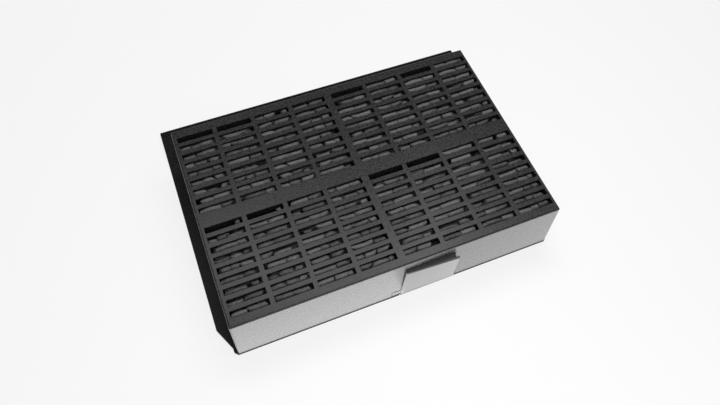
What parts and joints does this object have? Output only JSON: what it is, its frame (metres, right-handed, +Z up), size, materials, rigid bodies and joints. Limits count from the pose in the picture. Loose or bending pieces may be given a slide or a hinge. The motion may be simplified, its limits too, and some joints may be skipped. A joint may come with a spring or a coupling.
{
  "type": "cooker hood carbon filter",
  "caption": "Rectangular cassette of carbon pellets with a slotted top, a flanged base plate and a sprung finger latch at the front.",
  "frame": {"origin": "underside of the base plate, below the centre of the cassette", "axes": "+X along the long side to the right as seen from the latch, -Y towards the latch, +Z up through the slotted top"},
  "size_m": [0.277, 0.2133, 0.052],
  "materials": {
    "housing_plastic": "fine spark-eroded texture, dark grey",
    "plate_plastic": "plain matt, near black",
    "latch_plastic": "smooth satin, dark grey",
    "spring_steel": "bright rolled strip",
    "carbon": "dull dusty extruded carbon pellets"
  },
  "bodies": {
    "cassette": {"housing": "housing_plastic", "base_plate": "plate_plastic", "latch_spring": "spring_steel", "carbon_rear_left": "carbon", "carbon_rear_right": "carbon", "carbon_front_left": "carbon", "carbon_front_right": "carbon"},
    "latch": {"finger_latch": "latch_plastic"}
  },
  "joints": [
    {"name": "latch_press", "type": "hinge", "parent": "cassette", "child": "latch", "pos_m": [0.0214, -0.0784, 0.006], "axis": [-1, 0, 0], "range_deg": [0, 4], "stiffness_Nm_per_rad": 2, "deforming": ["latch_spring"]}
  ]
}
